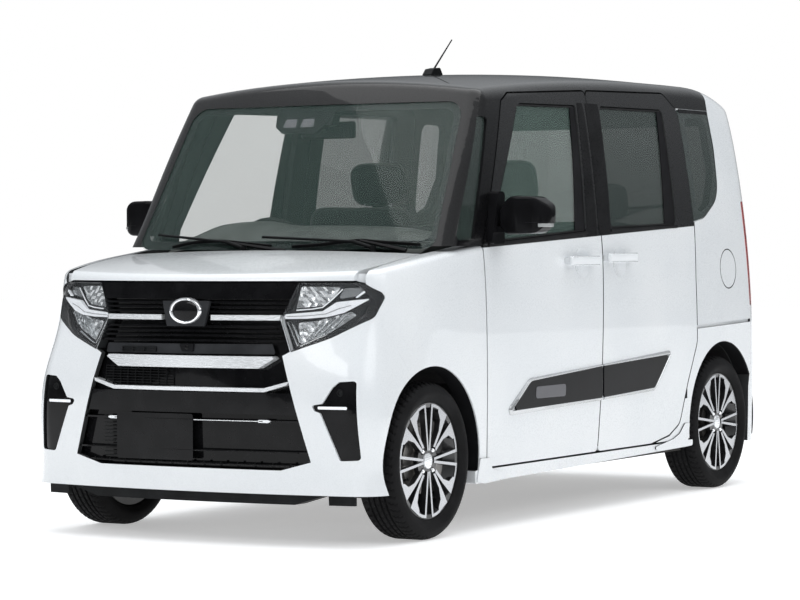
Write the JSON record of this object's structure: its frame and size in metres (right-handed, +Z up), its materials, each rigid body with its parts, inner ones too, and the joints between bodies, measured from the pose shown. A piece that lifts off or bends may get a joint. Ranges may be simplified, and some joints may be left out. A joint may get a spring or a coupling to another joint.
{
  "type": "kei car",
  "caption": "Tall box-shaped kei car with a short nose, hinged front doors, sliding rear doors, lifting tailgate and steered front wheels.",
  "frame": {"origin": "on the ground under the centre of the car's box", "axes": "+X forward, +Y to the car's left, +Z up"},
  "size_m": [3.3958, 1.9108, 1.8873],
  "materials": {
    "body_paint": "pearl gloss",
    "roof_paint": "black gloss",
    "gloss_black": "gloss",
    "grained_black": "fine grain",
    "chrome": "polished",
    "clear_glass": "green tint",
    "dark_glass": "privacy tint",
    "lamp_lens": "clear lens",
    "tail_lens": "red lens",
    "alloy": "machined face over black",
    "tyre": "rubber",
    "chassis": "satin underseal",
    "brake_iron": "machined",
    "exhaust_steel": "heat dulled",
    "engine_alloy": "cast",
    "seat_cloth": "woven",
    "cabin_plastic": "grain",
    "wheel_leather": "grain"
  },
  "bodies": {
    "root": {"underbody": "chassis", "roof": "roof_paint", "quarter_panel_left": "body_paint", "quarter_panel_right": "body_paint", "fender_left": "body_paint", "fender_right": "body_paint", "front_bumper": "body_paint", "rear_bumper": "body_paint", "sliding_door_left": "body_paint", "sliding_door_right": "body_paint", "side_glass": "dark_glass", "sliding_door_trim": "gloss_black", "windscreen": "clear_glass", "grille": "gloss_black", "grille_bars": "chrome", "headlamps": "lamp_lens", "tail_lamps": "tail_lens", "fog_bezels": "gloss_black", "front_lip": "grained_black", "number_plate": "gloss_black", "front_seats": "seat_cloth", "rear_seat": "seat_cloth", "dashboard": "cabin_plastic", "cowl": "grained_black", "side_skirts": "body_paint", "rear_axle": "chassis", "front_suspension": "chassis", "engine_block": "engine_alloy", "exhaust": "exhaust_steel", "fuel_tank": "grained_black", "antenna": "grained_black", "interior_mirror": "grained_black"},
    "bonnet": {"bonnet": "body_paint"},
    "front_door_left": {"front_door_left": "body_paint", "front_door_glass_left": "clear_glass", "front_door_trim_left": "gloss_black"},
    "front_door_right": {"front_door_right": "body_paint", "front_door_glass_right": "clear_glass", "front_door_trim_right": "gloss_black"},
    "tailgate": {"tailgate": "body_paint", "tailgate_glass": "dark_glass"},
    "fuel_flap": {"fuel_flap": "body_paint"},
    "steering_wheel": {"steering_wheel": "wheel_leather"},
    "knuckle_left": {"knuckle_left": "brake_iron"},
    "knuckle_right": {"knuckle_right": "brake_iron"},
    "wheel_front_left": {"rim_front_left": "alloy", "tyre_front_left": "tyre"},
    "wheel_front_right": {"rim_front_right": "alloy", "tyre_front_right": "tyre"},
    "wheel_rear_left": {"rim_rear_left": "alloy", "tyre_rear_left": "tyre"},
    "wheel_rear_right": {"rim_rear_right": "alloy", "tyre_rear_right": "tyre"}
  },
  "joints": [
    {"name": "bonnet_hinge", "type": "hinge", "parent": "root", "child": "bonnet", "pos_m": [1.167, 0, 1.03], "axis": [0, -1, 0], "range_deg": [0, 50]},
    {"name": "front_door_left_hinge", "type": "hinge", "parent": "root", "child": "front_door_left", "pos_m": [0.783, 0.729, 0.6], "axis": [0, 0, -1], "range_deg": [0, 70]},
    {"name": "front_door_right_hinge", "type": "hinge", "parent": "root", "child": "front_door_right", "pos_m": [0.783, -0.729, 0.6], "axis": [0, 0, 1], "range_deg": [0, 70]},
    {"name": "tailgate_hinge", "type": "hinge", "parent": "root", "child": "tailgate", "pos_m": [-1.454, 0, 1.709], "axis": [0, 1, 0], "range_deg": [0, 80]},
    {"name": "fuel_flap_hinge", "type": "hinge", "parent": "root", "child": "fuel_flap", "pos_m": [-1.272, 0.731, 0.935], "axis": [0, 0, -1], "range_deg": [0, 100]},
    {"name": "steering_left", "type": "hinge", "parent": "root", "child": "knuckle_left", "pos_m": [1.215, 0.615, 0.165], "axis": [-0.0312, -0.2259, 0.9737], "range_deg": [-35, 35]},
    {"name": "steering_right", "type": "hinge", "parent": "root", "child": "knuckle_right", "pos_m": [1.215, -0.615, 0.165], "axis": [-0.0312, 0.2259, 0.9737], "range_deg": [-35, 35]},
    {"name": "steering_wheel_turn", "type": "hinge", "parent": "root", "child": "steering_wheel", "pos_m": [0.585, -0.31, 0.985], "axis": [-0.8988, 0, 0.4384], "range_deg": [-560, 560]},
    {"name": "wheel_front_left_spin", "type": "hinge", "parent": "knuckle_left", "child": "wheel_front_left", "pos_m": [1.21, 0.65, 0.281], "axis": [0, 1, 0], "continuous": true},
    {"name": "wheel_front_right_spin", "type": "hinge", "parent": "knuckle_right", "child": "wheel_front_right", "pos_m": [1.21, -0.65, 0.281], "axis": [0, 1, 0], "continuous": true},
    {"name": "wheel_rear_left_spin", "type": "hinge", "parent": "root", "child": "wheel_rear_left", "pos_m": [-1.25, 0.65, 0.281], "axis": [0, 1, 0], "continuous": true},
    {"name": "wheel_rear_right_spin", "type": "hinge", "parent": "root", "child": "wheel_rear_right", "pos_m": [-1.25, -0.65, 0.281], "axis": [0, 1, 0], "continuous": true}
  ],
  "couplings": [
    {"joint": "steering_right", "follows": "steering_left", "ratio": 1},
    {"joint": "steering_wheel_turn", "follows": "steering_left", "ratio": 16}
  ]
}
